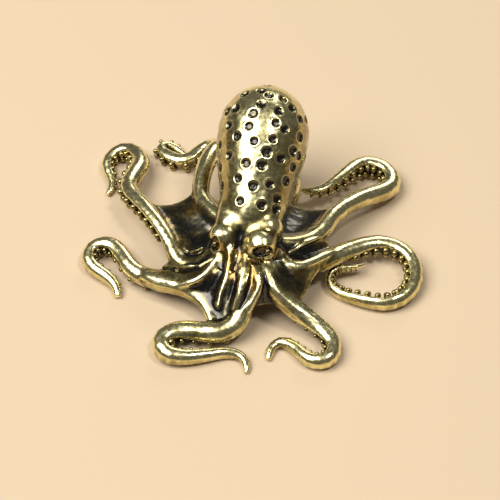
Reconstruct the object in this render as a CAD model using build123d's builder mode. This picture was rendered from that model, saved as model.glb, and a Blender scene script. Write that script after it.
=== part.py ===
"""Octopus figurine: a small cast brass octopus that rests on its curled arms.

The frame is +Z up, with the origin on the table under the middle of the figurine.
The octopus looks along -Y and its mantle leans back along +Y.
"""
import math
import os

from build123d import *

# Overall sizes, in millimetres
width = 36.0                 # across the curled arms, left to right
height = 15.0                # from the table to the top of the mantle
seat_depth = 0.06            # how much of each resting arm is filed flat
reach = width / 2            # the arms' places are shares of this

# Arms
arm_girth = 1.1              # radius of a full arm section
arm_rise = 4.0               # how high the arms leave the head, under their lower side
belly_share = 0.55           # how far the flat belly lies from the section's centre
arm_stations = 40            # sections along an arm

# Suckers
sucker_bulge_share = 0.34    # radius of a sucker, of the arm's radius beside it
sucker_row_share = 0.42      # how far each row lies from the belly's middle line
sucker_pitch_share = 1.25    # from one sucker to the next
first_sucker_share = 0.30    # where the rows start along an arm
last_sucker_share = 0.97
sucker_clearance = 0.02      # between a sucker's flat foot and the belly

# Mantle
mantle_length = 13.8
mantle_radius = 4.8
mantle_tilt = 25.0           # degrees that its axis rises towards the back
neck_back = 1.3              # from the middle of the figurine back to the neck
dimpled_share = 0.83         # of the profile from the tip, down to where the pits stop
profile_samples = 60         # places tested for the mantle's highest point
dimple_radius = 0.5
dimple_depth = 0.2
dimple_pitch = 1.75          # from one dimple to the next

# Head
head_radius = 3.2
skirt_radius = 4.4           # of the flared lower part of the head
skirt_brow = 5.7             # height of the flare's upper rim
skirt_hem = 4.0              # height of its outer rim
skirt_top_radius = 2.8
skirt_waist = 3.4            # radius half-way down the flare
mouth_height = 2.2           # underside of the head over the table
beak_radius = 1.2            # of the round mouth recess
beak_depth = 0.6
head_side = 0.4              # the head stands this much to the left
head_front = 2.0             # and this much in front of the middle
skull_drop = 2.4             # from the neck's height down to the skull's centre

# Eye mounds
left_mound_radius = 1.5
right_mound_radius = 1.75
left_mound_side = 2.7        # from the middle of the figurine out to each mound
right_mound_side = 1.4
mound_front = 2.5            # in front of the middle
right_mound_lead = 0.5       # the right mound stands this much further forward
mound_drop = 0.3             # under the neck's height

# Eyes
socket_radius = 0.8
socket_depth = 0.6
ball_radius = 0.5
ball_seat = 0.08             # how far the ball is let into the socket's floor

# Web between the arms
web_thickness = 0.8
web_sag_share = 0.12         # sag of the web between two arms, of the span
web_rungs = 4                # sections along each web

# The mantle's profile from its tip to its flat foot inside the head: radius there,
# of the mantle's, and how far from the neck, of the mantle's length
mantle_profile_shares = (
    (0.0, 1.0), (0.74, 0.877), (1.0, 0.623), (0.885, 0.283), (0.735, 0.0), (0.5, -0.19),
)

# Each arm from root to tip: x and y of the reach, lift of the arm's rise,
# girth, and how far the belly turns from downwards to the left of travel, of a right angle
front_left_shares = (
    (0.03, -0.28, 1.00, 0.85, 0.0), (0.04, -0.38, 0.90, 0.88, 0.0), (0.03, -0.45, 0.62, 0.95, 0.0),
    (0.01, -0.53, 0.28, 1.02, 0.1), (-0.04, -0.60, 0.10, 1.05, 0.2), (-0.13, -0.635, 0.03, 1.08, 0.3),
    (-0.26, -0.64, 0.00, 1.10, 0.5), (-0.37, -0.67, 0.00, 1.05, 0.7), (-0.415, -0.74, 0.00, 0.98, 0.9),
    (-0.37, -0.805, 0.00, 0.92, 1.0), (-0.27, -0.81, 0.00, 0.82, 1.0), (-0.14, -0.77, 0.00, 0.68, 0.9),
    (-0.03, -0.735, 0.00, 0.57, 0.8), (0.05, -0.75, 0.00, 0.48, 0.6), (0.085, -0.81, 0.00, 0.38, 0.5),
    (0.09, -0.855, 0.00, 0.25, 0.4),
)
front_right_shares = (
    (0.11, -0.27, 1.00, 0.85, 0.0), (0.16, -0.36, 0.85, 0.88, 0.0), (0.23, -0.41, 0.58, 0.95, 0.0),
    (0.34, -0.455, 0.28, 1.00, -0.2), (0.45, -0.51, 0.10, 0.98, -0.5), (0.53, -0.58, 0.02, 0.94, -0.8),
    (0.555, -0.65, 0.00, 0.90, -1.0), (0.53, -0.715, 0.00, 0.85, -1.1), (0.46, -0.735, 0.00, 0.78, -1.1),
    (0.385, -0.69, 0.00, 0.70, -1.0), (0.32, -0.635, 0.00, 0.62, -0.9), (0.26, -0.615, 0.00, 0.54, -0.8),
    (0.215, -0.645, 0.00, 0.46, -0.6), (0.20, -0.70, 0.00, 0.38, -0.5), (0.20, -0.745, 0.00, 0.26, -0.4),
)
left_front_shares = (
    (-0.10, -0.19, 1.00, 0.85, 0.0), (-0.18, -0.28, 0.82, 0.88, 0.0), (-0.25, -0.33, 0.60, 0.92, 0.0),
    (-0.33, -0.345, 0.42, 0.96, 0.0), (-0.43, -0.31, 0.22, 1.00, 0.1), (-0.53, -0.285, 0.08, 1.03, 0.2),
    (-0.62, -0.26, 0.06, 1.00, 0.3), (-0.70, -0.195, 0.10, 0.94, 0.4), (-0.765, -0.11, 0.10, 0.92, 0.6),
    (-0.85, -0.055, 0.08, 0.92, 0.8), (-0.925, -0.085, 0.05, 0.85, 1.0), (-0.94, -0.16, 0.02, 0.80, 1.0),
    (-0.89, -0.225, 0.00, 0.76, 1.0), (-0.81, -0.275, 0.00, 0.67, 0.9), (-0.75, -0.335, 0.00, 0.54, 0.7),
    (-0.73, -0.40, 0.00, 0.36, 0.5),
)
right_front_shares = (
    (0.10, -0.15, 1.00, 0.85, 0.0), (0.19, -0.20, 0.85, 0.88, 0.0), (0.29, -0.175, 0.60, 0.93, -0.1),
    (0.40, -0.10, 0.42, 0.96, -0.2), (0.52, 0.02, 0.28, 0.99, -0.4), (0.63, 0.105, 0.20, 1.00, -0.6),
    (0.76, 0.155, 0.16, 0.96, -0.8), (0.89, 0.115, 0.12, 0.92, -0.9), (0.955, 0.01, 0.08, 0.88, -1.0),
    (0.955, -0.11, 0.04, 0.88, -1.2), (0.89, -0.21, 0.00, 0.88, -1.4), (0.80, -0.25, 0.00, 0.84, -1.5),
    (0.70, -0.24, 0.00, 0.78, -1.5), (0.60, -0.22, 0.00, 0.70, -1.5), (0.52, -0.18, 0.00, 0.62, -1.4),
    (0.475, -0.12, 0.06, 0.55, -1.2), (0.49, -0.065, 0.16, 0.48, -1.0), (0.55, -0.045, 0.24, 0.40, -1.0),
    (0.62, -0.03, 0.28, 0.32, -1.0), (0.67, 0.00, 0.30, 0.22, -1.0),
)
left_back_shares = (
    (-0.11, -0.12, 1.00, 0.85, 0.0), (-0.21, -0.20, 0.78, 0.84, 0.1), (-0.30, -0.235, 0.58, 0.85, 0.2),
    (-0.40, -0.195, 0.50, 0.86, 0.4), (-0.46, -0.10, 0.56, 0.87, 0.6), (-0.53, 0.00, 0.62, 0.88, 0.8),
    (-0.61, 0.10, 0.62, 0.92, 0.8), (-0.71, 0.215, 0.54, 0.98, 0.8), (-0.785, 0.32, 0.44, 1.00, 0.8),
    (-0.785, 0.45, 0.32, 1.00, 0.8), (-0.765, 0.57, 0.20, 1.00, 0.8), (-0.80, 0.685, 0.08, 0.98, 0.9),
    (-0.885, 0.735, 0.02, 0.90, 1.0), (-0.955, 0.69, 0.00, 0.76, 1.0), (-0.97, 0.61, 0.00, 0.64, 1.0),
    (-0.93, 0.53, 0.00, 0.54, 0.9), (-0.915, 0.46, 0.00, 0.44, 0.7), (-0.935, 0.395, 0.00, 0.30, 0.5),
)
right_back_shares = (
    (0.09, -0.07, 1.00, 0.85, 0.0), (0.20, -0.06, 0.90, 0.84, 0.0), (0.31, 0.00, 0.76, 0.85, 0.1),
    (0.39, 0.10, 0.66, 0.86, 0.2), (0.44, 0.23, 0.62, 0.87, 0.3), (0.51, 0.36, 0.52, 0.88, 0.4),
    (0.60, 0.47, 0.36, 0.90, 0.5), (0.70, 0.57, 0.18, 0.96, 0.7), (0.755, 0.665, 0.04, 1.00, 0.9),
    (0.73, 0.755, 0.00, 1.02, 1.0), (0.66, 0.805, 0.00, 1.04, 1.0), (0.58, 0.80, 0.06, 1.02, 1.0),
    (0.52, 0.73, 0.20, 0.96, 1.0), (0.47, 0.64, 0.32, 0.88, 1.0), (0.41, 0.545, 0.42, 0.76, 1.0),
    (0.335, 0.48, 0.50, 0.60, 0.9), (0.275, 0.47, 0.55, 0.42, 0.9), (0.235, 0.48, 0.58, 0.26, 0.8),
)
back_left_shares = (
    (-0.07, -0.01, 1.05, 0.85, 0.0), (-0.16, 0.05, 1.00, 0.84, 0.0), (-0.26, 0.14, 0.92, 0.85, 0.1),
    (-0.335, 0.25, 0.86, 0.86, 0.2), (-0.35, 0.37, 0.92, 0.87, 0.3), (-0.34, 0.51, 0.96, 0.88, 0.4),
    (-0.32, 0.61, 0.90, 0.88, 0.6), (-0.305, 0.70, 0.72, 0.88, 0.8), (-0.32, 0.772, 0.42, 0.86, 1.0),
    (-0.367, 0.808, 0.20, 0.84, 1.0), (-0.428, 0.772, 0.08, 0.84, 1.0), (-0.475, 0.715, 0.03, 0.86, 0.9),
    (-0.54, 0.695, 0.00, 0.86, 0.8), (-0.605, 0.72, 0.00, 0.82, 0.8), (-0.66, 0.765, 0.00, 0.74, 0.9),
    (-0.672, 0.817, 0.00, 0.66, 1.0), (-0.628, 0.84, 0.00, 0.56, 1.0), (-0.57, 0.822, 0.00, 0.44, 0.9),
    (-0.52, 0.79, 0.00, 0.28, 0.8),
)
back_right_shares = (
    (0.04, -0.01, 1.00, 0.85, 0.0), (0.08, 0.10, 0.90, 0.84, 0.0), (0.12, 0.22, 0.66, 0.86, 0.0),
    (0.15, 0.34, 0.42, 0.88, 0.1), (0.17, 0.46, 0.22, 0.92, 0.2), (0.165, 0.58, 0.08, 0.96, 0.4),
    (0.12, 0.69, 0.02, 0.96, 0.7), (0.03, 0.765, 0.00, 0.92, 0.9), (-0.07, 0.765, 0.00, 0.84, 1.0),
    (-0.125, 0.70, 0.00, 0.74, 1.0), (-0.10, 0.625, 0.00, 0.62, 1.0), (-0.03, 0.60, 0.00, 0.48, 1.0),
    (0.03, 0.635, 0.00, 0.30, 1.0),
)

# The arms in order round the head. The web from each arm to the next runs along
# a share of either arm's length, and its free edge is deepest at x and y of the reach
arm_table = (
    ("front_left", front_left_shares, 0.17, 0.20, (0.145, -0.395)),
    ("front_right", front_right_shares, 0.28, 0.18, (0.365, -0.255)),
    ("right_front", right_front_shares, 0.25, 0.22, (0.42, 0.085)),
    ("right_back", right_back_shares, 0.36, 0.30, (0.32, 0.31)),
    ("back_right", back_right_shares, 0.26, 0.25, (-0.08, 0.25)),
    ("back_left", back_left_shares, 0.30, 0.50, (-0.505, 0.20)),
    ("left_back", left_back_shares, 0.20, 0.40, (-0.45, -0.19)),
    ("left_front", left_front_shares, 0.24, 0.28, (-0.19, -0.485)),
)

# Where each eye looks, as shares of one step along X, Y and Z
left_gaze_shares = (-0.80, -0.58, -0.15)
right_gaze_shares = (0.12, -0.96, -0.25)


def between(knots, values, place):
    """Value at a place between knots, in a straight line from one to the next."""
    for low, high, first, second in zip(knots, knots[1:], values, values[1:]):
        if place <= high:
            return first + (second - first) * (place - low) / (high - low)
    return values[-1]


class Arm:
    """Centre line of one arm with its girth and the turn of its belly."""

    def __init__(self, name, shares):
        self.name = name
        self.girths = [arm_girth * row[3] for row in shares]
        self.turns = [90 * row[4] for row in shares]
        points = [
            Vector(reach * row[0], reach * row[1], arm_rise * row[2] + arm_girth * row[3] - seat_depth)
            for row in shares
        ]
        steps = [0.0]
        for start, stop in zip(points, points[1:]):
            steps.append(steps[-1] + (stop - start).length)
        self.knots = [step / steps[-1] for step in steps]
        self.line = Edge.make_spline(points, parameters=self.knots)

    def girth(self, place):
        return between(self.knots, self.girths, place)

    def plane(self, place):
        """Section plane at a place along the arm: its X lies across, its Y away from the belly."""
        along = self.line.tangent_at(place)
        across = Vector(0, 0, 1).cross(along).normalized()
        turn = between(self.knots, self.turns, place)
        across = across.rotate(Axis(Vector(0, 0, 0), along), turn)
        return Plane(origin=self.line.position_at(place), x_dir=across, z_dir=along)


def arm_section(plane, girth):
    """Round section with a flat belly on its -Y side."""
    flat = -belly_share * girth
    edge = math.sqrt(girth**2 - flat**2)
    low = math.atan2(flat, edge)
    middle = (low + math.pi / 2) / 2
    bulge = (girth * math.cos(middle), girth * math.sin(middle))
    with BuildSketch(plane) as section:
        with BuildLine():
            Line((-edge, flat), (edge, flat))
            ThreePointArc((edge, flat), bulge, (0, girth))
            ThreePointArc((0, girth), (-bulge[0], bulge[1]), (-edge, flat))
        make_face()
    return section.sketch


def web_section(first, second):
    """Upright slice of a web that sags between two arms."""
    level = Vector(second.X - first.X, second.Y - first.Y, 0)
    span = level.length
    sag = web_sag_share * span
    rise = second.Z - first.Z
    half = web_thickness / 2
    plane = Plane(origin=first, x_dir=level, z_dir=level.cross(Vector(0, 0, 1)))
    with BuildSketch(plane) as section:
        with BuildLine():
            ThreePointArc((0, half), (span / 2, rise / 2 - sag + half), (span, rise + half))
            Line((span, rise + half), (span, rise - half))
            ThreePointArc((span, rise - half), (span / 2, rise / 2 - sag - half), (0, -half))
            Line((0, -half), (0, half))
        make_face()
    return section.sketch


arms = [Arm(row[0], row[1]) for row in arm_table]

# Mantle: a tilted egg of arcs that run on from each other, its top at the full height
tilt = math.radians(mantle_tilt)
with BuildLine() as mantle_side:
    outline = [(mantle_radius * radius, mantle_length * along) for radius, along in mantle_profile_shares]
    arc = TangentArc(outline[0], outline[1], tangent=(1, 0))
    for point in outline[2:]:
        arc = TangentArc(arc @ 1, point, tangent=arc % 1)
side = mantle_side.wires()[0]
samples = [side @ (step / profile_samples) for step in range(profile_samples + 1)]
neck_height = height - max(spot.Y * math.sin(tilt) + abs(spot.X) * math.cos(tilt) for spot in samples)
mantle_frame = Plane(
    origin=(0, neck_back, neck_height),
    x_dir=(1, 0, 0),
    z_dir=(0, math.cos(tilt), math.sin(tilt)),
)

with BuildPart() as egg:
    with BuildSketch(Plane(mantle_frame.origin, x_dir=mantle_frame.x_dir, z_dir=-mantle_frame.y_dir)):
        with BuildLine():
            add(mantle_side.line)
            Polyline(outline[-1], (0, outline[-1][1]), outline[0])
        make_face()
    revolve(axis=Axis(mantle_frame.origin, mantle_frame.z_dir))


def dimple_places():
    """Centres of the pits in rings round the mantle, each ring half a pitch on from the last."""
    rings = round(dimpled_share * side.length / dimple_pitch)
    for ring in range(rings):
        place = dimpled_share * (ring + 0.55) / rings
        spot = side @ place
        along = side % place
        centre = spot + Vector(-along.Y, along.X) * (dimple_radius - dimple_depth)
        count = max(3, round(2 * math.pi * spot.X / dimple_pitch))
        for step in range(count):
            angle = 2 * math.pi * (step + ring / 2) / count
            yield (centre.X * math.cos(angle), centre.X * math.sin(angle), centre.Y)


with BuildPart() as mantle:
    add(egg.part)
    with Locations(mantle_frame):
        with Locations(*dimple_places()):
            Sphere(dimple_radius, mode=Mode.SUBTRACT)
mantle_solid = mantle.part.solids().sort_by(SortBy.VOLUME)[-1]

# Head: a skull with two eye mounds over a flared skirt, hollowed where the mouth lies
hub = Vector(-head_side, -head_front, 0)
skull_centre = Vector(-head_side, -head_front / 2, neck_height - skull_drop)
left_mound = Vector(-left_mound_side, -mound_front, neck_height - mound_drop)
right_mound = Vector(right_mound_side, -mound_front - right_mound_lead, neck_height - mound_drop)
eyes = (
    (left_mound, Vector(*left_gaze_shares).normalized(), left_mound_radius),
    (right_mound, Vector(*right_gaze_shares).normalized(), right_mound_radius),
)

with BuildPart() as head:
    with BuildSketch(Plane(hub, x_dir=(1, 0, 0), z_dir=(0, -1, 0))):
        with BuildLine():
            Polyline((0, skirt_brow), (0, mouth_height), (skirt_radius, mouth_height), (skirt_radius, skirt_hem))
            ThreePointArc(
                (skirt_radius, skirt_hem),
                (skirt_waist, (skirt_brow + skirt_hem) / 2),
                (skirt_top_radius, skirt_brow),
            )
            Line((skirt_top_radius, skirt_brow), (0, skirt_brow))
        make_face()
    revolve(axis=Axis(hub, (0, 0, 1)))
    with Locations(skull_centre):
        Sphere(head_radius)
    for mound, gaze, mound_radius in eyes:
        with Locations(Plane(origin=mound, z_dir=gaze)):
            Sphere(mound_radius)
            with Locations((0, 0, mound_radius + socket_radius - socket_depth)):
                Sphere(socket_radius, mode=Mode.SUBTRACT)
    split(bisect_by=Plane.XY.offset(mouth_height), keep=Keep.TOP)
    with Locations(hub + Vector(0, 0, mouth_height)):
        Cylinder(beak_radius, 2 * beak_depth, mode=Mode.SUBTRACT)
    add(egg.part, mode=Mode.SUBTRACT)


def eye_ball(mound, gaze, mound_radius):
    """Ball that rests in the bottom of its socket."""
    floor = mound_radius - socket_depth
    with BuildPart() as ball:
        with Locations(Plane(origin=mound + gaze * (floor + ball_radius - ball_seat), z_dir=gaze)):
            Sphere(ball_radius)
        add(head.part, mode=Mode.SUBTRACT)
    return ball.part


eye_left, eye_right = (eye_ball(*eye) for eye in eyes)

# Arms: each is cut where it runs into the head, the mantle or the arm laid before it
arm_parts = []
for arm in arms:
    places = [station / (arm_stations - 1) for station in range(arm_stations)]
    with BuildPart() as limb:
        loft([arm_section(arm.plane(place), arm.girth(place)) for place in places], ruled=True)
        with BuildSketch():
            Rectangle(2 * width, 2 * width)
        extrude(amount=-height, mode=Mode.SUBTRACT)
        for solid in (head.part, egg.part, *arm_parts[-1:]):
            add(solid, mode=Mode.SUBTRACT)
    arm_parts.append(limb.part.solids().sort_by(SortBy.VOLUME)[-1])

# Suckers: two rows of small domes seated on each belly
foot_align = (Align.CENTER, Align.CENTER, Align.MIN)
sucker_parts = []
for arm in arms:
    domes = []
    place = first_sucker_share
    while place < last_sucker_share:
        girth = arm.girth(place)
        section = arm.plane(place)
        for row in (-1, 1):
            seat = (row * sucker_row_share * girth, -belly_share * girth - sucker_clearance, 0)
            dome_plane = Plane(origin=section.from_local_coords(seat), x_dir=section.z_dir, z_dir=-section.y_dir)
            domes.append(dome_plane * Sphere(sucker_bulge_share * girth, arc_size1=0, align=foot_align))
        place += sucker_pitch_share * girth / arm.line.length
    with BuildPart() as beads:
        add(domes)
    sucker_parts.append(beads.part)

# Web: thin sagging membranes, each from one arm to the next, with a scalloped free edge
membranes = []
for index, (_, _, first_share, second_share, scallop_share) in enumerate(arm_table):
    following = (index + 1) % len(arms)
    rungs = [rung / (web_rungs - 1) for rung in range(web_rungs)]
    ends = [(arms[index].line @ (first_share * rung), arms[following].line @ (second_share * rung)) for rung in rungs]
    first, second = [(end.X, end.Y) for end in ends[-1]]
    with BuildPart() as membrane:
        loft([web_section(*pair) for pair in ends], ruled=True)
        with BuildSketch():
            with BuildLine():
                ThreePointArc(first, (reach * scallop_share[0], reach * scallop_share[1]), second)
                Line(second, first)
            make_face()
        extrude(amount=height, mode=Mode.SUBTRACT)
        for solid in (egg.part, head.part, arm_parts[index], arm_parts[following]):
            add(solid, mode=Mode.SUBTRACT)
    membranes.append(membrane.part.solids().sort_by(SortBy.VOLUME)[-1])

with BuildPart() as web:
    add(membranes)

parts = {
    "mantle": mantle_solid,
    "head": head.part,
    "eye_left": eye_left,
    "eye_right": eye_right,
    "web": web.part,
}
for arm, arm_part, beads_part in zip(arms, arm_parts, sucker_parts):
    parts["arm_" + arm.name] = arm_part
    parts["suckers_" + arm.name] = beads_part
os.makedirs("parts", exist_ok=True)
for name, piece in parts.items():
    piece.label = name
    export_step(piece, f"parts/{name}.step")
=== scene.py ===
# Looks of the octopus figurine: one small brass casting with a dark patina rubbed bright, and
# light and shade painted into its colour.
# The casting is sculpted in millimetres from the frame's solids, shared out among named
# pieces, and set in metres at the end.
import logging
import math
from collections.abc import Iterator
from contextlib import contextmanager
from dataclasses import dataclass, field
from enum import Enum

import bpy
import numpy as np
from mathutils import Matrix, Vector, noise
from mathutils.bvhtree import BVHTree


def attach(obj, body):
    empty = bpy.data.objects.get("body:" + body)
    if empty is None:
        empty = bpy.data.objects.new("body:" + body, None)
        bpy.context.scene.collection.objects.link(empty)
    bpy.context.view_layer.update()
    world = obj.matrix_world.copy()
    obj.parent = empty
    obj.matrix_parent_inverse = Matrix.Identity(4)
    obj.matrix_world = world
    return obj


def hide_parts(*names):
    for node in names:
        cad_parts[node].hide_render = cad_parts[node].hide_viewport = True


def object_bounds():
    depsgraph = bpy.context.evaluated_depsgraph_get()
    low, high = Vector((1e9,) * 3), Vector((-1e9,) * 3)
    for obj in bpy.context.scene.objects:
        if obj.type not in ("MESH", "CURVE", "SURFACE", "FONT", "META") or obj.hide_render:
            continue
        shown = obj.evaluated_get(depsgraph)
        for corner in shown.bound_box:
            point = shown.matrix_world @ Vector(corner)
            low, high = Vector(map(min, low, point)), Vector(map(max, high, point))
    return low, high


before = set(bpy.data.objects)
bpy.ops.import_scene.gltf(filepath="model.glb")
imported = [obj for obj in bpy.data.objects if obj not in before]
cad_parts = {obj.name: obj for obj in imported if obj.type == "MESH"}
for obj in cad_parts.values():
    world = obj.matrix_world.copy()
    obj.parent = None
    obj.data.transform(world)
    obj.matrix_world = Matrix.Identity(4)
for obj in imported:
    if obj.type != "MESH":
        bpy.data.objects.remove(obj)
CAD_BOX = [list(corner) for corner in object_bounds()]
LOG = logging.getLogger("octopus")

MM = 0.001                     # metres in a millimetre
BODY = "root"
ARMS = (
    "front_left", "front_right", "right_front", "right_back",
    "back_right", "back_left", "left_back", "left_front",
)
NODES = ("mantle", "head", "web", *(f"arm_{name}" for name in ARMS))   # one skin of metal
WEAR_AND_PAINTED_LIGHT = "wear_and_painted_light"                  # attribute: 0 under the patina, 1 rubbed bright, with painted light and shade mixed in
WARMTH = "warmth"              # attribute: 1 where ochre tarnish has stayed
CAST_NORMAL = "cast_normal"    # attribute: the whole casting's normals, kept across pieces
LAYERS = {                     # kind, property and width of each attribute
    WEAR_AND_PAINTED_LIGHT: ("FLOAT", "value", 1),
    WARMTH: ("FLOAT", "value", 1),
    CAST_NORMAL: ("FLOAT_VECTOR", "vector", 3),
}
BOX_LOW, BOX_HIGH = np.array(CAD_BOX) / MM
MERGE_GAP = 0.0005             # millimetres between points that are one
SEAM_GAP = 0.001               # the same, where a spun shape closes
EYE_SEGMENTS = 32
TIDY_ROUNDS = 4                # of handing stray faces over
STROKE_REACH = 2.5             # widths past which a chased line has faded out
SMOOTHING = 0.6                # share of the way to the neighbours' mean in one pass


class Slot(Enum):
    """Names of two material slots."""

    POLISHED = "polished_brass"
    DARKENED = "darkened_brass"


class Side(Enum):
    """Which way a chased mark moves the metal."""

    RAISED = 1.0
    SUNK = -1.0


def deselect() -> None:
    """Leave nothing selected or active."""
    bpy.ops.object.select_all(action="DESELECT")
    bpy.context.view_layer.objects.active = None


def pick(piece: bpy.types.Object) -> None:
    """Select one object alone and make it active.

    Args:
        piece: the object that the next operator works on.
    """
    deselect()
    piece.select_set(True)
    bpy.context.view_layer.objects.active = piece


def add_object(name: str, data: bpy.types.ID) -> bpy.types.Object:
    """Put a new object with this data in the scene."""
    made = bpy.data.objects.new(name, data)
    bpy.context.scene.collection.objects.link(made)
    return made


def aim(item: bpy.types.Object, heading: Vector) -> None:
    """Turn a camera or lamp to look this way."""
    item.rotation_mode = "QUATERNION"
    item.rotation_quaternion = heading.to_track_quat("-Z", "Y")


@contextmanager
def editing(piece: bpy.types.Object) -> Iterator[None]:
    """Edit one mesh, from all of it selected.

    Args:
        piece: the mesh object.
    """
    pick(piece)
    bpy.ops.object.mode_set(mode="EDIT")
    bpy.ops.mesh.select_all(action="SELECT")
    yield
    bpy.ops.object.mode_set(mode="OBJECT")


def apply_modifier(piece: bpy.types.Object, kind: str, **settings: object) -> None:
    """Add a modifier with its settings and apply it.

    Args:
        piece: the mesh object to change.
        kind: the modifier's type.
        settings: the modifier's properties.
    """
    pick(piece)
    modifier = piece.modifiers.new(kind.lower(), kind)
    for name, value in settings.items():
        setattr(modifier, name, value)
    bpy.ops.object.modifier_apply(modifier=modifier.name)


def join(pieces: list[bpy.types.Object], name: str) -> bpy.types.Object:
    """Join several meshes into one object.

    Args:
        pieces: the objects to join.
        name: the joined object's name.

    Returns:
        The joined object.
    """
    deselect()
    for piece in pieces:
        piece.select_set(True)
    bpy.context.view_layer.objects.active = pieces[0]
    bpy.ops.object.join()
    joined = bpy.context.view_layer.objects.active
    joined.name = joined.data.name = name
    return joined


def merged_copy(node: str) -> bpy.types.Object:
    """Copy a node of the frame in millimetres, its loose triangles merged.

    Args:
        node: the CAD node's name.

    Returns:
        The copy.
    """
    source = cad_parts[node]
    copy = add_object(f"{node}_copy", source.data.copy())
    copy.data.materials.clear()
    copy.data.transform(Matrix.Scale(1 / MM, 4))
    with editing(copy):
        bpy.ops.mesh.remove_doubles(threshold=MERGE_GAP)
    return copy


def read_rows(
    items: bpy.types.bpy_prop_collection, key: str, width: int = 1, kind: type = np.float32
) -> np.ndarray:
    """Read one property of many elements.

    Args:
        items: the elements, such as a mesh's vertices.
        key: the property's name.
        width: how many numbers the property has.
        kind: what kind of numbers.

    Returns:
        One row per element, or one number where the width is 1.
    """
    values = np.empty(len(items) * width, kind)
    items.foreach_get(key, values)
    return values.reshape(-1, width) if width > 1 else values


def points_of(mesh: bpy.types.Mesh) -> np.ndarray:
    """The mesh's vertices as rows of three numbers."""
    return read_rows(mesh.vertices, "co", 3).astype(float)


def normals_of(mesh: bpy.types.Mesh) -> np.ndarray:
    """The mesh's vertex normals as rows of three numbers."""
    return read_rows(mesh.vertex_normals, "vector", 3).astype(float)


def centres_of(mesh: bpy.types.Mesh) -> np.ndarray:
    """The middles of the mesh's faces as rows of three numbers."""
    return read_rows(mesh.polygons, "center", 3)


def edges_of(mesh: bpy.types.Mesh) -> np.ndarray:
    """The mesh's edges as rows of two vertex numbers."""
    return read_rows(mesh.edges, "vertices", 2, np.int32)


def corners_of(mesh: bpy.types.Mesh) -> tuple[np.ndarray, np.ndarray, np.ndarray]:
    """Each face corner's vertex, edge and face numbers."""
    vertices, edges = (
        read_rows(mesh.loops, key, kind=np.int32) for key in ("vertex_index", "edge_index")
    )
    totals = read_rows(mesh.polygons, "loop_total", kind=np.int32)
    return vertices, edges, np.repeat(np.arange(len(totals)), totals)


def layer_of(mesh: bpy.types.Mesh, name: str) -> np.ndarray:
    """Values of one of the mesh's attributes."""
    _, key, width = LAYERS[name]
    return read_rows(mesh.attributes[name].data, key, width)


def set_layer(mesh: bpy.types.Mesh, name: str, values: np.ndarray) -> None:
    """Add an attribute with these values to the mesh."""
    kind, key, _ = LAYERS[name]
    layer = mesh.attributes.new(name, kind, "POINT")
    layer.data.foreach_set(key, values.astype(np.float32).ravel())


def set_points(mesh: bpy.types.Mesh, spots: np.ndarray) -> None:
    """Move the mesh's vertices to these places."""
    mesh.vertices.foreach_set("co", spots.astype(np.float32).ravel())
    mesh.update()


def smoothstep(low: float, high: float, values: np.ndarray) -> np.ndarray:
    """Soft step from 0 at low to 1 at high."""
    share = np.clip((values - low) / (high - low), 0, 1)
    return share * share * (3 - 2 * share)


@dataclass(frozen=True)
class PhotoView:
    """Camera that sees the figurine as the photograph does; places in millimetres."""

    elevation: float = 48.0
    azimuth: float = 8.0
    distance: float = 260.0
    target: tuple[float, float, float] = (0.0, 0.0, 3.0)
    target_place: tuple[float, float] = (251.5, 242.5)   # in the picture
    picture: float = 500.0
    scale: float = 9.5                                    # picture units per millimetre
    sensor: float = 36.0
    clip: tuple[float, float] = (0.01, 10.0)              # metres

    def axes(self) -> tuple[np.ndarray, np.ndarray, np.ndarray]:
        """Right, up and backward directions of the camera."""
        rise, turn = math.radians(self.elevation), math.radians(self.azimuth)
        back = np.array(
            [math.sin(turn) * math.cos(rise), -math.cos(turn) * math.cos(rise), math.sin(rise)]
        )
        right = np.array([math.cos(turn), math.sin(turn), 0.0])
        return right, np.cross(back, right), back

    def eye(self) -> np.ndarray:
        """Where the camera stands."""
        return np.array(self.target) + self.axes()[2] * self.distance

    def sight(self, place: tuple[float, float]) -> Vector:
        """Direction from the camera through a place in the picture.

        Args:
            place: across and down in the picture.

        Returns:
            The direction, of length one.
        """
        right, up, back = self.axes()
        focal = self.scale * self.distance
        across = (place[0] - self.target_place[0]) / focal
        down = (place[1] - self.target_place[1]) / focal
        return Vector(right * across - up * down - back).normalized()

    def places(self, spots: np.ndarray) -> tuple[np.ndarray, np.ndarray, np.ndarray]:
        """Where points are seen in the picture.

        Args:
            spots: points, in millimetres.

        Returns:
            Across, down, and how far from the camera.
        """
        right, up, back = self.axes()
        gap = spots - self.eye()
        far = -gap @ back
        focal = self.scale * self.distance
        across = self.target_place[0] + focal * (gap @ right) / far
        down = self.target_place[1] - focal * (gap @ up) / far
        return across, down, far

    def level(self, place: tuple[float, float], height: float) -> Vector:
        """Where a sight line passes a height over the table.

        Args:
            place: across and down in the picture.
            height: over the table, in millimetres.

        Returns:
            The point, in millimetres.
        """
        eye, sight = Vector(self.eye()), self.sight(place)
        return eye + sight * ((height - eye.z) / sight.z)

    def build(self) -> None:
        """Set the scene's camera."""
        back = Vector(self.axes()[2])
        bpy.ops.object.camera_add(location=Vector(self.eye()) * MM)
        camera = bpy.context.object
        camera.name = "camera"
        aim(camera, -back)
        camera.data.sensor_width = self.sensor
        camera.data.lens = self.sensor * self.scale * self.distance / self.picture
        centre = self.picture / 2
        camera.data.shift_x = (centre - self.target_place[0]) / self.picture
        camera.data.shift_y = (self.target_place[1] - centre) / self.picture
        camera.data.clip_start, camera.data.clip_end = self.clip
        bpy.context.scene.camera = camera
        bpy.context.scene.view_settings.view_transform = "Standard"


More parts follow.
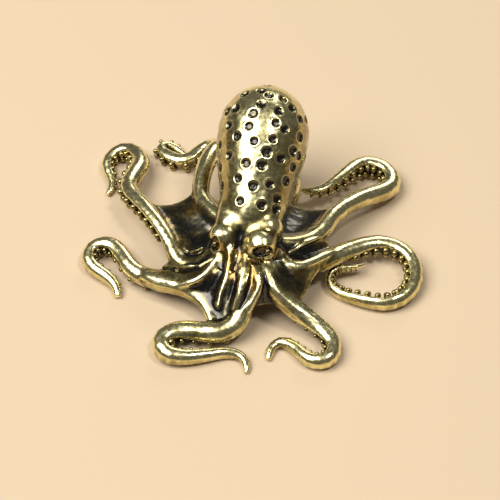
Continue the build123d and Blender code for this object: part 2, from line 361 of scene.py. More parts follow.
def add_node(
    tree: bpy.types.NodeTree, kind: str, values: dict | None = None, links: dict | None = None,
    **settings: object,
) -> bpy.types.Node:
    """Add a node to a material.

    Args:
        tree: the material's nodes.
        kind: the node's type.
        values: constants for its sockets.
        links: outputs that lead to its sockets.
        settings: the node's own properties.

    Returns:
        The node.
    """
    node = tree.nodes.new(f"ShaderNode{kind}")
    for name, value in settings.items():
        setattr(node, name, value)
    for socket, value in (values or {}).items():
        node.inputs[socket].default_value = value
    for socket, source in (links or {}).items():
        tree.links.new(source, node.inputs[socket])
    return node


@dataclass(frozen=True)
class AntiqueBrass:
    """Cast brass under a dark patina that is rubbed through on the proud places; its colour also
    carries painted light and shade.
    """

    name: str = "antique_brass"
    patina: tuple[float, float, float] = (0.050, 0.045, 0.040)
    olive: tuple[float, float, float] = (0.14, 0.125, 0.06)
    amber: tuple[float, float, float] = (0.31, 0.18, 0.035)
    gold: tuple[float, float, float] = (0.42, 0.34, 0.125)
    bright: tuple[float, float, float] = (0.88, 0.79, 0.40)
    tones: tuple[float, float, float, float] = (0.0, 0.30, 0.62, 1.0)   # wear of the four metals
    gloss: float = 0.55            # wax over the patina
    gloss_rough: float = 0.12
    rough_low: float = 0.17
    rough_high: float = 0.32
    grain: float = 2600.0          # fine casting grain, per metre
    grain_height: float = 0.0000025
    grain_range: tuple[float, float] = (0.3, 0.7)
    grain_detail: float = 4.0
    bump: float = 0.6
    mottle: float = 420.0          # patina clouds, per metre
    mottle_detail: float = 5.0
    mottle_rough: float = 0.62
    mottle_depth: float = 0.42     # wear that they add and take away
    tarnish: float = 0.7           # size of the amber patches, of the clouds
    tarnish_detail: float = 3.0
    tarnish_range: tuple[float, float] = (0.5, 0.68)
    amber_low: tuple[float, float] = (0.08, 0.26)      # amber fades in over this wear
    amber_high: tuple[float, float] = (0.62, 0.34)     # and out over this

    def material(self) -> bpy.types.Material:
        """Make the material.

        Returns:
            The procedural material, driven by the attribute of rubbing and painted light.
        """
        made = bpy.data.materials.new(self.name)
        made.use_nodes = True
        tree = made.node_tree
        shader = tree.nodes["Principled BSDF"]
        shader.inputs["Metallic"].default_value = 1.0
        shader.inputs["Coat Weight"].default_value = self.gloss
        shader.inputs["Coat Roughness"].default_value = self.gloss_rough
        place = add_node(tree, "TexCoord").outputs["Object"]
        wear_and_painted_light = add_node(tree, "Attribute", attribute_name=WEAR_AND_PAINTED_LIGHT).outputs["Fac"]
        warmth = add_node(tree, "Attribute", attribute_name=WARMTH).outputs["Fac"]

        def clouds(scale: float, detail: float, rough: float = 0.5) -> bpy.types.NodeSocket:
            """Noise at this scale."""
            values = {"Scale": scale, "Detail": detail, "Roughness": rough}
            return add_node(tree, "TexNoise", values, {"Vector": place}).outputs["Fac"]

        def combined(
            operation: str, first: bpy.types.NodeSocket, second: bpy.types.NodeSocket,
            **settings: bool,
        ) -> bpy.types.NodeSocket:
            """Sum, product or greater of two outputs."""
            links = {0: first, 1: second}
            return add_node(tree, "Math", None, links, operation=operation, **settings).outputs[0]

        def ranged(
            source: bpy.types.NodeSocket, before: tuple[float, float],
            after: tuple[float, float] = (0.0, 1.0), kind: str = "SMOOTHSTEP",
        ) -> bpy.types.NodeSocket:
            """Carry an output over from one range to another."""
            values = dict(zip(("From Min", "From Max", "To Min", "To Max"), (*before, *after)))
            links = {"Value": source}
            made = add_node(tree, "MapRange", values, links, interpolation_type=kind)
            return made.outputs["Result"]

        mottle = clouds(self.mottle, self.mottle_detail, self.mottle_rough)
        centred = add_node(
            tree, "Math", {1: self.mottle_depth, 2: -self.mottle_depth / 2}, {0: mottle},
            operation="MULTIPLY_ADD",
        )
        total = combined("ADD", wear_and_painted_light, centred.outputs[0], use_clamp=True)
        metal = add_node(tree, "ValToRGB", links={"Fac": total})
        colours = (self.patina, self.olive, self.gold, self.bright)
        elements = metal.color_ramp.elements
        while len(elements) < len(colours):
            elements.new(0.5)
        for element, level, colour in zip(elements, self.tones, colours):
            element.position = level
            element.color = (*colour, 1.0)
        tarnish = clouds(self.mottle * self.tarnish, self.tarnish_detail)
        patches = add_node(tree, "ValToRGB", links={"Fac": tarnish})
        for element, level in zip(patches.color_ramp.elements, self.tarnish_range):
            element.position = level
        between = combined(
            "MULTIPLY", ranged(total, self.amber_high), ranged(total, self.amber_low)
        )
        share = combined(
            "MAXIMUM", combined("MULTIPLY", between, patches.outputs["Color"]), warmth
        )
        mix = add_node(
            tree, "Mix", {7: (*self.amber, 1.0)}, {0: share, 6: metal.outputs["Color"]},
            data_type="RGBA",
        )
        tree.links.new(mix.outputs[2], shader.inputs["Base Color"])

        grain = clouds(self.grain, self.grain_detail)
        rough = ranged(grain, self.grain_range, (self.rough_low, self.rough_high), "LINEAR")
        tree.links.new(rough, shader.inputs["Roughness"])
        values = {"Strength": self.bump, "Distance": self.grain_height}
        bump = add_node(tree, "Bump", values, {"Height": grain})
        tree.links.new(bump.outputs["Normal"], shader.inputs["Normal"])
        return made


@dataclass
class Studio:
    """Pale floor, soft lamps and a plain pale surround."""

    floor_size: float = 6.0
    floor_colour: tuple[float, float, float] = (0.72, 0.56, 0.37)
    floor_rough: float = 0.9
    floor_shine: float = 0.1
    surround: tuple[float, float, float] = (0.80, 0.79, 0.77)
    surround_strength: float = 0.13
    lamps: tuple[tuple[tuple[float, float, float], float, float], ...] = (
        ((-0.26, -0.10, 0.50), 0.42, 3.6),
        ((0.24, -0.04, 0.60), 0.12, 1.1),
        ((0.10, 0.56, 0.34), 0.26, 0.7),
    )                                  # place, width and power of each

    def build(self) -> None:
        """Make the floor, the lamps and the world."""
        bpy.ops.mesh.primitive_plane_add(size=self.floor_size, location=(0, 0, 0))
        floor = bpy.context.object
        floor.name = "floor"
        paint = bpy.data.materials.new("floor_paper")
        paint.use_nodes = True
        shader = paint.node_tree.nodes["Principled BSDF"]
        shader.inputs["Base Color"].default_value = (*self.floor_colour, 1.0)
        shader.inputs["Roughness"].default_value = self.floor_rough
        shader.inputs["Specular IOR Level"].default_value = self.floor_shine
        floor.data.materials.append(paint)

        for index, (place, width, power) in enumerate(self.lamps):
            bpy.ops.object.light_add(type="AREA", location=place)
            lamp = bpy.context.object
            lamp.name = f"softbox_{index}"
            lamp.data.shape = "SQUARE"
            lamp.data.size = width
            lamp.data.energy = power
            aim(lamp, -Vector(place))

        world = bpy.data.worlds.new("surround")
        bpy.context.scene.world = world
        world.use_nodes = True
        sky = world.node_tree.nodes["Background"]
        sky.inputs["Color"].default_value = (*self.surround, 1.0)
        sky.inputs["Strength"].default_value = self.surround_strength


@dataclass(frozen=True)
class Mark:
    """A line or spot chased into the casting, placed as it is seen in the photograph."""

    path: tuple[tuple[float, float], ...]
    width: float                    # millimetres to either side
    height: float                   # millimetres at its middle
    side: Side = Side.RAISED
    taper: float = 0.6              # how much it thins to its ends
    shade: float = 0.0              # patina that it keeps, below 0 rubbed brighter; a few marks use it only for painted highlights and painted shade
    warm: float = 0.0               # ochre tarnish that it keeps


@dataclass(frozen=True)
class Flow:
    """Tapered swell of metal from one place to another, in millimetres."""

    start: tuple[float, float, float]
    stop: tuple[float, float, float]
    start_radius: float
    stop_radius: float
    beads: int = 7

    def build(self) -> bpy.types.Object:
        """Lay overlapping balls along it.

        Returns:
            The balls in one mesh.
        """
        first, last = Vector(self.start), Vector(self.stop)
        balls = []
        for bead in range(self.beads):
            share = bead / (self.beads - 1)
            bpy.ops.mesh.primitive_ico_sphere_add(
                subdivisions=3,
                radius=self.start_radius + (self.stop_radius - self.start_radius) * share,
                location=first.lerp(last, share),
            )
            balls.append(bpy.context.object)
        return join(balls, "flow")


@dataclass(frozen=True)
class Rib:
    """Rounded rib along a line, placed as it is seen in the photograph."""

    path: tuple[tuple[float, float, float, float], ...]   # seen place, height and radius

    def build(self, view: PhotoView) -> bpy.types.Object:
        """Sweep a tapering round along the line.

        Args:
            view: the photograph's camera.

        Returns:
            The rib, in millimetres.
        """
        curve = bpy.data.curves.new("rib", "CURVE")
        curve.dimensions = "3D"
        curve.bevel_depth = 1.0
        curve.use_fill_caps = True
        line = curve.splines.new("NURBS")
        line.points.add(len(self.path) - 1)
        for index, (across, down, height, radius) in enumerate(self.path):
            line.points[index].co = (*view.level((across, down), height), 1.0)
            line.points[index].radius = radius
        line.order_u = 3
        line.use_endpoint_u = True
        pick(add_object("rib", curve))
        bpy.ops.object.convert(target="MESH")
        return bpy.context.view_layer.objects.active


@dataclass(frozen=True)
class Socket:
    """Hollow of an eye, placed as it is seen in the photograph."""

    place: tuple[float, float]
    reach: tuple[float, float]       # half its width and height in the picture
    depth: float = 0.6               # millimetres
    turn: float = 0.0                # degrees
    shell: float = 1.6               # millimetres of skin that it sinks, before and behind
    outside: float = 9.0             # share given to what it doesn't reach
    wall: tuple[float, float] = (1.12, 0.55)
    rim: tuple[float, float, float] = (1.3, 0.16, 0.05)   # place, width and height
    patina: tuple[float, float] = (1.14, 0.9)
    patina_shade: float = 0.75
    rim_shade: float = 0.22

    def press(
        self, view: PhotoView, tree: BVHTree, spots: np.ndarray
    ) -> tuple[np.ndarray, np.ndarray]:
        """Sink the hollow away from the camera.

        Args:
            view: the photograph's camera.
            tree: search tree of the skin.
            spots: the skin's points, in millimetres.

        Returns:
            How far each point moves, and its distance from the middle as a share of the reach.
        """
        floor = tree.ray_cast(Vector(view.eye()), view.sight(self.place))[0]
        level = view.places(np.array([tuple(floor)]))[2][0]
        across, down, far = view.places(spots)
        turn = math.radians(self.turn)
        over, under = across - self.place[0], down - self.place[1]
        long = (over * math.cos(turn) + under * math.sin(turn)) / self.reach[0]
        short = (under * math.cos(turn) - over * math.sin(turn)) / self.reach[1]
        share = np.where(np.abs(far - level) < self.shell, np.hypot(long, short), self.outside)
        return self.depth * smoothstep(*self.wall, share), share


@dataclass(frozen=True)
class Apron:
    """Pleated skirt of metal that falls from under the eyes to the front arms."""

    pleats: tuple[tuple[tuple[float, float, float], ...], ...]   # seen places, and heights
    tuck: tuple[float, float, float] = (0.0, 1.8, -0.3)   # from its upper rim into the head
    thickness: float = 1.3
    fineness: int = 3

    def build(self, view: PhotoView) -> bpy.types.Object:
        """Drape the skirt over its pleats.

        Args:
            view: the photograph's camera.

        Returns:
            The skirt, in millimetres.
        """
        columns = []
        for pleat in self.pleats:
            line = [view.level((across, down), height) for across, down, height in pleat]
            columns.append([line[0] + Vector(self.tuck), *line])
        rows = len(columns[0])
        spots = [tuple(spot) for column in columns for spot in column]
        faces = [
            (spot, spot + 1, spot + rows + 1, spot + rows)
            for left in range(0, (len(columns) - 1) * rows, rows)
            for spot in range(left, left + rows - 1)
        ]
        mesh = bpy.data.meshes.new("apron")
        mesh.from_pydata(spots, [], faces)
        apron = add_object("apron", mesh)
        apply_modifier(apron, "SUBSURF", levels=self.fineness)
        apply_modifier(apron, "SOLIDIFY", thickness=self.thickness, offset=-1.0)
        with editing(apron):
            bpy.ops.mesh.normals_make_consistent(inside=False)
        return apron


@dataclass
class Mantle:
    """Dimpled egg of the body; sizes in millimetres."""

    length: float = 13.8
    radius: float = 4.8
    tilt: float = 25.0
    neck: tuple[float, float, float] = (0.0, 1.3, 6.5)
    profile: tuple[tuple[float, float], ...] = (
        (0.0, 1.0), (0.74, 0.877), (1.0, 0.623), (0.885, 0.283), (0.735, 0.0), (0.5, -0.19),
        (0.0, -0.25),
    )                                # radius, and place along, as shares
    arc_steps: int = 8
    turns: int = 96
    pit_radius: float = 0.54
    pit_depth: float = 0.20
    rim_height: float = 0.022
    rim_width: float = 0.12
    rim_place: float = 1.2           # of the pit's radius, as are the next four
    bowl_edge: tuple[float, float] = (1.08, 0.50)
    patina_edge: tuple[float, float] = (1.16, 0.80)
    calm_edge: tuple[float, float] = (2.2, 1.2)      # round it the wear is calmed
    pit_reach: float = 2.4
    pit_spread: tuple[float, float] = (0.86, 1.12)   # pits differ in size
    seed: int = 5
    first_ring: float = 0.4
    last_ring: float = 0.16          # of the length
    pit_pitch: float = 1.12          # between pits, of the ring pitch
    grazing: float = 0.12            # pits that face the camera less are set in rings
    ring_pitch: float = 1.35
    seen_pits: tuple[tuple[float, float], ...] = (
        (261, 104), (253, 113), (279, 111), (249, 126), (276, 123), (285, 129), (237, 136),
        (254, 141), (273, 139), (267, 152), (281, 158), (229, 155), (246, 163), (262, 165),
        (293, 151), (300, 137), (299, 156), (293, 167), (286, 181), (238, 178), (253, 186),
        (270, 184), (277, 199), (240, 201), (262, 205), (276, 209), (229, 125), (236, 108),
        (228, 111), (220, 145), (220, 168), (222, 186), (245, 94), (261, 91), (269, 95),
        (283, 99), (292, 108), (300, 119), (306, 120),
    )                                # as seen in the photograph

    def outline(self) -> list[tuple[float, float]]:
        """Profile points on arcs that run on from each other.

        Returns:
            Rows of radius and place along the axis, in millimetres.
        """
        knots = [Vector((self.radius * out, self.length * along)) for out, along in self.profile]
        heading = Vector((1.0, 0.0))
        line = [knots[0]]
        for start, stop in zip(knots, knots[1:]):
            chord = stop - start
            reach = chord.length
            chord.normalize()
            turn = math.atan2(heading.x * chord.y - heading.y * chord.x, heading.dot(chord))
            side = Vector((-heading.y, heading.x))
            radius = reach / (2 * math.sin(turn))
            for step in range(1, self.arc_steps + 1):
                swept = 2 * turn * step / self.arc_steps
                forth = heading * radius * math.sin(swept)
                line.append(start + forth + side * radius * (1 - math.cos(swept)))
            heading = chord * 2 * heading.dot(chord) - heading
        return [(max(spot.x, 0.0), spot.y) for spot in line]

    def axis(self) -> Vector:
        """Direction of the mantle's axis, from the neck to the tip."""
        rise = math.radians(self.tilt)
        return Vector((0.0, math.cos(rise), math.sin(rise)))

    def build(self) -> bpy.types.Object:
        """Spin the plain egg.

        Returns:
            The egg, in millimetres.
        """
        axis, base, across = self.axis(), Vector(self.neck), Vector((1.0, 0.0, 0.0))
        line = [base + across * radius + axis * along for radius, along in self.outline()]
        mesh = bpy.data.meshes.new("egg")
        steps = [(spot, spot + 1) for spot in range(len(line) - 1)]
        mesh.from_pydata([tuple(spot) for spot in line], steps, [])
        egg = add_object("egg", mesh)
        with editing(egg):
            bpy.ops.mesh.spin(steps=self.turns, angle=2 * math.pi, center=base, axis=axis)
            bpy.ops.mesh.select_all(action="SELECT")
            bpy.ops.mesh.remove_doubles(threshold=SEAM_GAP)
            bpy.ops.mesh.normals_make_consistent(inside=False)
        return egg

    def unseen_pits(self, eye: Vector) -> list[Vector]:
        """Pits in rings on the side that the photograph doesn't show.

        Args:
            eye: where the photograph's camera stands.

        Returns:
            Their centres on the plain egg.
        """
        axis, base, across = self.axis(), Vector(self.neck), Vector((1.0, 0.0, 0.0))
        over = axis.cross(across)
        spots = []
        line = self.outline()
        travelled, next_ring, ring = 0.0, self.first_ring, 0
        for (r0, a0), (r1, a1) in zip(line, line[1:]):
            travelled += math.hypot(r1 - r0, a1 - a0)
            if travelled < next_ring or a1 < self.last_ring * self.length:
                continue
            next_ring += self.ring_pitch
            ring += 1
            count = max(3, round(2 * math.pi * r1 / (self.ring_pitch * self.pit_pitch)))
            for step in range(count):
                angle = 2 * math.pi * (step + ring / 2) / count
                out = across * math.cos(angle) + over * math.sin(angle)
                spot = base + axis * a1 + out * r1
                slope = Vector((a0 - a1, r1 - r0)).normalized()
                normal = (out * slope.x + axis * slope.y).normalized()
                if normal.dot((eye - spot).normalized()) < self.grazing:
                    spots.append(spot)
        return spots


@dataclass(frozen=True)
class Rubbing:
    """Where the dark patina stays, where it is rubbed bright, and where light and shade are
    painted in; the value goes from 0 to 1.
    """

    level: float = 0.37
    mantle: float = 0.12
    web: float = -0.32
    skirt: float = 0.95              # as dark as the web, of it
    skirt_edge: tuple[float, float] = (8.0, 6.0)
    skirt_top: tuple[float, float] = (5.6, 5.0)
    top: float = 0.50                # painted light: more on what faces up, so tops come out lighter
    painted_top_range: tuple[float, float] = (-0.1, 0.95)
    # painted shade: taken from everything, so flanks and undersides come out darker than tops
    painted_flank_shade: float = -0.27
    proud: tuple[tuple[int, float], ...] = ((6, 9.0), (30, 5.0), (140, 2.2))   # passes, and weight
    proud_near_pit: float = 0.5
    clouds: tuple[tuple[float, float], ...] = ((0.45, 0.18), (1.3, 0.13))      # waves, and weight
    cloud_calm: float = 0.6          # weaker on the web
    pit: float = -0.38
    bead: float = 0.55
    ball: float = 0.30


@dataclass(frozen=True)
class Neighbours:
    """Which vertices of a mesh are joined by an edge."""

    ends: np.ndarray                 # edges as pairs of vertex numbers
    counts: np.ndarray               # how many edges meet at each vertex

    @classmethod
    def of(cls, mesh: bpy.types.Mesh) -> "Neighbours":
        """Read them from a mesh."""
        ends = edges_of(mesh)
        return cls(ends, np.bincount(ends.ravel(), minlength=len(mesh.vertices)).astype(float))

    def mean(self, rows: np.ndarray) -> np.ndarray:
        """Mean over each vertex's neighbours.

        Args:
            rows: one row of numbers per vertex, such as its place.

        Returns:
            One row per vertex.
        """
        total = np.empty_like(rows)
        for axis in range(rows.shape[1]):
            column = rows[:, axis]
            total[:, axis] = np.bincount(self.ends[:, 0], column[self.ends[:, 1]], len(rows))
            total[:, axis] += np.bincount(self.ends[:, 1], column[self.ends[:, 0]], len(rows))
        return total / self.counts[:, None]


@dataclass
class Casting:
    """The whole figurine in one skin; sizes in millimetres."""

    view: PhotoView
    mantle: Mantle
    apron: Apron
    marks: tuple[Mark, ...]
    flows: tuple[Flow, ...]
    ribs: tuple[Rib, ...]
    sockets: tuple[Socket, ...]
    arm_starts: dict[str, float]
    voxel: float = 0.1
    even_passes: int = 4
    fillet_passes: int = 150
    limb_passes: int = 24           # of them, on the free arms
    fillet_step: float = 0.5
    fillet_creep: float = 0.05      # of that step, where the skin is proud
    turn_passes: int = 6            # between two looks at which way the skin faces
    lump_height: float = 0.035
    lump_waves: tuple[float, float] = (0.75, 2.1)      # per millimetre
    lump_fine: float = 0.35         # height of the finer ones, of the others
    hub: tuple[float, float] = (-0.4, -2.0)
    web_lift: float = 0.35
    skirt_lift: float = 0.9
    skirt_fan: tuple[float, float] = (-0.3, 0.7)       # from the back of the hub to its front
    skirt_reach: tuple[float, float] = (10.0, 5.0)
    middle_edge: tuple[float, float] = (10.0, 7.0)     # deep fillets come in over it
    share_passes: int = 12          # that soften the edge of a node's part of the skin
    rubbing: Rubbing = Rubbing()
    mesh: bpy.types.Mesh = field(init=False)
    neighbours: Neighbours = field(init=False)
    owners: np.ndarray = field(init=False)             # node that each face lies on
    mark_patina_and_light: np.ndarray = field(init=False)
    mark_warm: np.ndarray = field(init=False)
    pit_shade: np.ndarray = field(init=False)
    pit_near: np.ndarray = field(init=False)

    def build(self) -> bpy.types.Object:
        """Gather the solids into one skin and chase it.

        Returns:
            The finished skin, in millimetres.
        """
        plain = [merged_copy(node) for node in NODES if node not in ("mantle", "web")]
        swells = [flow.build() for flow in self.flows]
        swells += [rib.build(self.view) for rib in self.ribs]
        swells += [self.lifted_web(), self.apron.build(self.view)]
        skin = join([self.mantle.build(), *plain, *swells], "casting")
        apply_modifier(skin, "REMESH", mode="VOXEL", voxel_size=self.voxel, adaptivity=0.0)
        LOG.info("skin of %d vertices", len(skin.data.vertices))
        self.mesh = skin.data
        self.neighbours = Neighbours.of(self.mesh)
        self.settle()
        self.owners = self.nearest_nodes()
        self.hammer()
        self.chase()
        self.hollow()
        self.pit()
        self.wear_and_painted_light()
        return skin

    def away(self, spots: np.ndarray) -> np.ndarray:
        """How far each place is from the hub, from above."""
        return np.linalg.norm(spots[:, :2] - np.array(self.hub), axis=1)

    def lifted_web(self) -> bpy.types.Object:
        """Copy the web and draw it up where it hangs from the head.

        Returns:
            The copy.
        """
        copy = merged_copy("web")
        spots = points_of(copy.data)
        away = self.away(spots)
        front = (self.hub[1] - spots[:, 1]) / np.maximum(away, self.voxel)
        lift = self.skirt_lift * smoothstep(*self.skirt_fan, front)
        spots[:, 2] += self.web_lift + lift * smoothstep(*self.skirt_reach, away)
        set_points(copy.data, spots)
        return copy

    def nearest_nodes(self) -> np.ndarray:
        """Find the frame's node that each face of the skin lies on.

        Returns:
            One number per face, an index into NODES.
        """
        corners, faces, owners = [], [], []
        for index, node in enumerate(NODES):
            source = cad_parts[node].data
            start = len(corners)
            corners += (points_of(source) / MM).tolist()
            rings = np.array([face.vertices for face in source.polygons]) + start
            faces += rings.tolist()
            owners += [index] * len(rings)
        tree = BVHTree.FromPolygons(corners, faces)
        centres = centres_of(self.mesh).tolist()
        return np.array([owners[tree.find_nearest(spot)[2]] for spot in centres], np.int32)

    def share_near(self, node: str) -> np.ndarray:
        """How much of the skin round each vertex belongs to a node.

        Args:
            node: the CAD node's name.

        Returns:
            A share from 0 to 1 per vertex.
        """
        vertices, _, faces = corners_of(self.mesh)
        own = (self.owners == NODES.index(node)).astype(float)[faces]
        total = np.bincount(vertices, own, len(self.mesh.vertices))
        share = total / np.maximum(np.bincount(vertices, minlength=len(self.mesh.vertices)), 1)
        column = share[:, None]
        for _ in range(self.share_passes):
            column = self.neighbours.mean(column)
        return column[:, 0]

    def settle(self) -> None:
        """Even out the voxel steps and let metal fill the inner corners."""
        spots = points_of(self.mesh)
        for _ in range(self.even_passes):
            spots += SMOOTHING * (self.neighbours.mean(spots) - spots)
        inner = smoothstep(*self.middle_edge, self.away(spots))
        for number in range(self.fillet_passes):
            if number % self.turn_passes == 0:
                set_points(self.mesh, spots)
                normals = normals_of(self.mesh)
            pull = self.neighbours.mean(spots) - spots
            outward = np.sum(pull * normals, axis=1, keepdims=True)
            pull = np.where(outward > 0, pull, self.fillet_creep * pull)
            strength = 1.0 if number < self.limb_passes else inner[:, None]
            spots += self.fillet_step * strength * pull
        set_points(self.mesh, spots)

    def hammer(self) -> None:
        """Give the skin the slight unevenness of a cast from wax."""
        spots, normals = points_of(self.mesh), normals_of(self.mesh)
        coarse, fine = (noise_at(spots, waves) for waves in self.lump_waves)
        lumps = self.lump_height * (coarse + self.lump_fine * fine)
        set_points(self.mesh, spots + normals * lumps[:, None])

    def chase(self) -> None:
        """Raise the folds and sink the creases that the photograph shows."""
        spots, normals = points_of(self.mesh), normals_of(self.mesh)
        tree = tree_of(self.mesh)
        moved, self.mark_patina_and_light, self.mark_warm = np.zeros((3, len(spots)))
        eye = Vector(self.view.eye())
        for mark in self.marks:
            path = [tree.ray_cast(eye, self.view.sight(place))[0] for place in mark.path]
            path = np.array([tuple(spot) for spot in path if spot is not None])
            form = stroke(spots, path, mark.width, mark.taper)
            moved += mark.side.value * mark.height * form
            # patina kept, rubbing, and painted highlights and shade along the mark
            self.mark_patina_and_light += mark.shade * form
            self.mark_warm += mark.warm * form
        set_points(self.mesh, spots + normals * moved[:, None])

    def hollow(self) -> None:
        """Sink the eye sockets, each with a rubbed rim."""
        spots = points_of(self.mesh)
        back = self.view.axes()[2]
        for socket in self.sockets:
            sunk, share = socket.press(self.view, tree_of(self.mesh), spots)
            place, width, height = socket.rim
            rim = np.exp(-(((share - place) / width) ** 2))
            spots = spots + back * (height * rim - sunk)[:, None]
            self.mark_patina_and_light += socket.patina_shade * smoothstep(*socket.patina, share)
            self.mark_patina_and_light -= socket.rim_shade * rim
            set_points(self.mesh, spots)

    def pit(self) -> None:
        """Sink the mantle's pits, each with a faint rim."""
        spots, normals = points_of(self.mesh), normals_of(self.mesh)
        tree = tree_of(self.mesh)
        eye = Vector(self.view.eye())
        mantle = self.mantle
        centres = [tree.ray_cast(eye, self.view.sight(place))[0] for place in mantle.seen_pits]
        centres += [tree.find_nearest(spot)[0] for spot in mantle.unseen_pits(eye)]
        moved, self.pit_shade, self.pit_near = np.zeros((3, len(spots)))
        layers = ((self.pit_near, mantle.calm_edge), (self.pit_shade, mantle.patina_edge))
        draw = np.random.default_rng(mantle.seed)
        for centre in centres:
            own = mantle.pit_radius * draw.uniform(*mantle.pit_spread)
            gap = np.linalg.norm(spots - np.array(centre), axis=1)
            near = gap < own * mantle.pit_reach
            share = gap[near] / own
            bowl = -mantle.pit_depth * smoothstep(*mantle.bowl_edge, share)
            rim = np.exp(-(((share - mantle.rim_place) * own / mantle.rim_width) ** 2))
            moved[near] += bowl + mantle.rim_height * rim
            for layer, edge in layers:
                layer[near] = np.maximum(layer[near], smoothstep(*edge, share))
        set_points(self.mesh, spots + normals * moved[:, None])

    def wear_and_painted_light(self) -> None:
        """Work out where hands have rubbed the patina away, and paint light and shade into the
        same value.
        """
        spots, normals = points_of(self.mesh), normals_of(self.mesh)
        soft = spots.copy()
        proud = np.zeros(len(spots))
        rub = self.rubbing
        passes = 0
        for goal, weight in rub.proud:
            while passes < goal:
                soft += SMOOTHING * (self.neighbours.mean(soft) - soft)
                passes += 1
            proud += weight * np.sum((spots - soft) * normals, axis=1)
        web, mantle = self.share_near("web"), self.share_near("mantle")
        skirt = smoothstep(*rub.skirt_edge, self.away(spots))
        skirt = skirt * smoothstep(*rub.skirt_top, spots[:, 2]) * (1 - mantle)
        level = rub.level + rub.mantle * mantle + rub.web * np.maximum(web, rub.skirt * skirt)
        level += proud * (1 - rub.proud_near_pit * self.pit_near)
        # Painted light and shade: lighter on what faces up, darker on flanks and undersides.
        level += rub.top * smoothstep(*rub.painted_top_range, normals[:, 2]) + rub.painted_flank_shade
        cloud = sum(weight * noise_at(spots, waves) for waves, weight in rub.clouds)
        # Chased marks: patina kept in creases, rubbing on ridges, and painted highlights and
        # shade.
        level += cloud * (1 - rub.cloud_calm * web) + rub.pit * self.pit_shade - self.mark_patina_and_light
        set_layer(self.mesh, WEAR_AND_PAINTED_LIGHT, np.clip(level, 0, 1))
        set_layer(self.mesh, WARMTH, np.clip(self.mark_warm, 0, 1))
        set_layer(self.mesh, CAST_NORMAL, normals)

    def share_out(self, skin: bpy.types.Object) -> dict[str, bpy.types.Object]:
        """Split the skin into the mantle, the eight arms and the middle.

        Args:
            skin: the finished skin.

        Returns:
            The pieces by name, each closed with its own cap.
        """
        away = self.away(centres_of(self.mesh))
        middle = NODES.index("head")
        labels = self.owners.copy()
        labels[labels == NODES.index("web")] = middle
        for arm in ARMS:
            rooted = (self.owners == NODES.index(f"arm_{arm}")) & (away < self.arm_starts[arm])
            labels[rooted] = middle
        labels = tidy_labels(self.mesh, labels)
        pieces = {}
        for index, name in enumerate(NODES):
            if np.any(labels == index):
                pieces[name] = cut_out(skin, labels == index, name)
        bpy.data.objects.remove(skin)
        return pieces


def noise_at(spots: np.ndarray, frequency: float) -> np.ndarray:
    """Smooth noise from about -1 to 1.

    Args:
        spots: places in millimetres.
        frequency: waves per millimetre.

    Returns:
        One value per place.
    """
    return np.array([noise.noise(Vector(spot)) for spot in (spots * frequency).tolist()])


def stroke(spots: np.ndarray, path: np.ndarray, width: float, taper: float) -> np.ndarray:
    """How strong a chased line is at each vertex.

    Args:
        spots: vertex places.
        path: the line's points.
        width: how far it reaches to either side.
        taper: how much it thins to its ends, from 0 to 1.

    Returns:
        A share from 0 to 1 at each vertex.
    """
    result = np.zeros(len(spots))
    margin = STROKE_REACH * width
    low, high = path.min(0) - margin, path.max(0) + margin
    near = np.flatnonzero(np.all((spots > low) & (spots < high), axis=1))
    if not len(near):
        return result
    places = spots[near]
    lengths = np.linalg.norm(np.diff(path, axis=0), axis=1)
    whole = lengths.sum()
    best = np.full(len(near), np.inf)
    share = np.zeros(len(near))
    run = 0.0
    for start, stop, length in zip(path, path[1:], lengths):
        step = stop - start
        along = np.clip(((places - start) @ step) / (length * length), 0, 1)
        gap = np.linalg.norm(places - (start + along[:, None] * step), axis=1)
        closer = gap < best
        best[closer] = gap[closer]
        share[closer] = (run + along[closer] * length) / whole
        run += length
    ends = 1 - taper * np.abs(2 * share - 1) ** 2
    result[near] = ends * np.exp(-((best / (width * ends)) ** 2))
    return result


def tree_of(mesh: bpy.types.Mesh) -> BVHTree:
    """Search tree of the mesh's faces."""
    vertices, _, faces = corners_of(mesh)
    starts = np.flatnonzero(np.diff(faces, prepend=-1))
    rings = [ring.tolist() for ring in np.split(vertices, starts[1:])]
    return BVHTree.FromPolygons(points_of(mesh).tolist(), rings)


def patches_of(links: np.ndarray, count: int) -> np.ndarray:
    """Find the patches that links join.

    Args:
        links: joined pairs.
        count: how many there are to join.

    Returns:
        For each, the lowest number in its patch.
    """
    patch = np.arange(count)
    while True:
        low = np.minimum(patch[links[:, 0]], patch[links[:, 1]])
        fresh = patch.copy()
        np.minimum.at(fresh, links[:, 0], low)
        np.minimum.at(fresh, links[:, 1], low)
        fresh = fresh[fresh]
        if np.array_equal(fresh, patch):
            return patch
        patch = fresh


def tidy_labels(mesh: bpy.types.Mesh, labels: np.ndarray) -> np.ndarray:
    """Give small stray patches of faces the label round them.

    Args:
        mesh: the skin.
        labels: one number per face.

    Returns:
        The labels, each in one patch.
    """
    _, edges, faces = corners_of(mesh)
    order = np.argsort(edges, kind="stable")
    edges, faces = edges[order], faces[order]
    twin = np.flatnonzero(edges[1:] == edges[:-1])
    links = np.column_stack([faces[twin], faces[twin + 1]])
    labels = labels.copy()
    for _ in range(TIDY_ROUNDS):
        same = links[labels[links[:, 0]] == labels[links[:, 1]]]
        patch = patches_of(same, len(labels))
        sizes = np.bincount(patch, minlength=len(labels))
        largest = {}
        for label in np.unique(labels):
            owned = np.unique(patch[labels == label])
            largest[label] = owned[np.argmax(sizes[owned])]
        stray = patch != np.array([largest[label] for label in labels])
        if not stray.any():
            break
        edge = links[stray[links[:, 0]] != stray[links[:, 1]]]
        inner = np.where(stray[edge[:, 0]], edge[:, 0], edge[:, 1])
        outer = np.where(stray[edge[:, 0]], edge[:, 1], edge[:, 0])
        votes = {}
        for root, label in zip(patch[inner], labels[outer]):
            votes.setdefault(root, []).append(label)
        for root, seen in votes.items():
            labels[(patch == root) & stray] = max(sorted(set(seen)), key=seen.count)
    return labels


